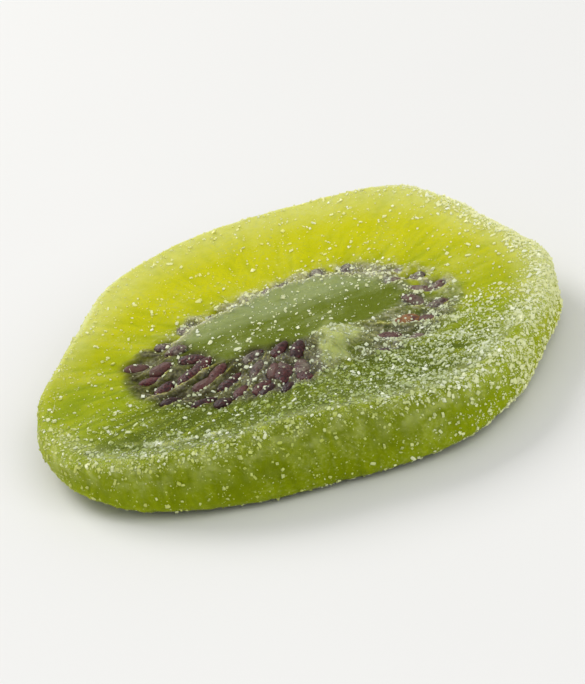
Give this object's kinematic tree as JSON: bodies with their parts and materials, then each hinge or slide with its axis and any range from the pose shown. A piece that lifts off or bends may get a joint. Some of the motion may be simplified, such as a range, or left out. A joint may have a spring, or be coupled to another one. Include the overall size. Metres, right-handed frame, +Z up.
{
  "type": "dried kiwi slice",
  "caption": "Round slice of candied, dried kiwi with a ring of seeds round a pillowed core, a raised wavy rim and a slightly warped underside.",
  "frame": {"origin": "middle of the slice's footprint, on the surface it lies on", "axes": "+Z up through the slice, out of its upper cut face; -Y towards the thickest stretch of the rim, which is the front; +X to the right of it, along the oval of seeds"},
  "size_m": [0.045, 0.0456, 0.007],
  "materials": {
    "flesh": "translucent candied green flesh with a sugared, frosted surface",
    "seed": "dark maroon-brown seed skin with a dull film of sugar",
    "sugar": "white, glinting sugar crystals"
  },
  "bodies": {
    "root": {"kiwi_slice": "flesh"}
  },
  "joints": []
}
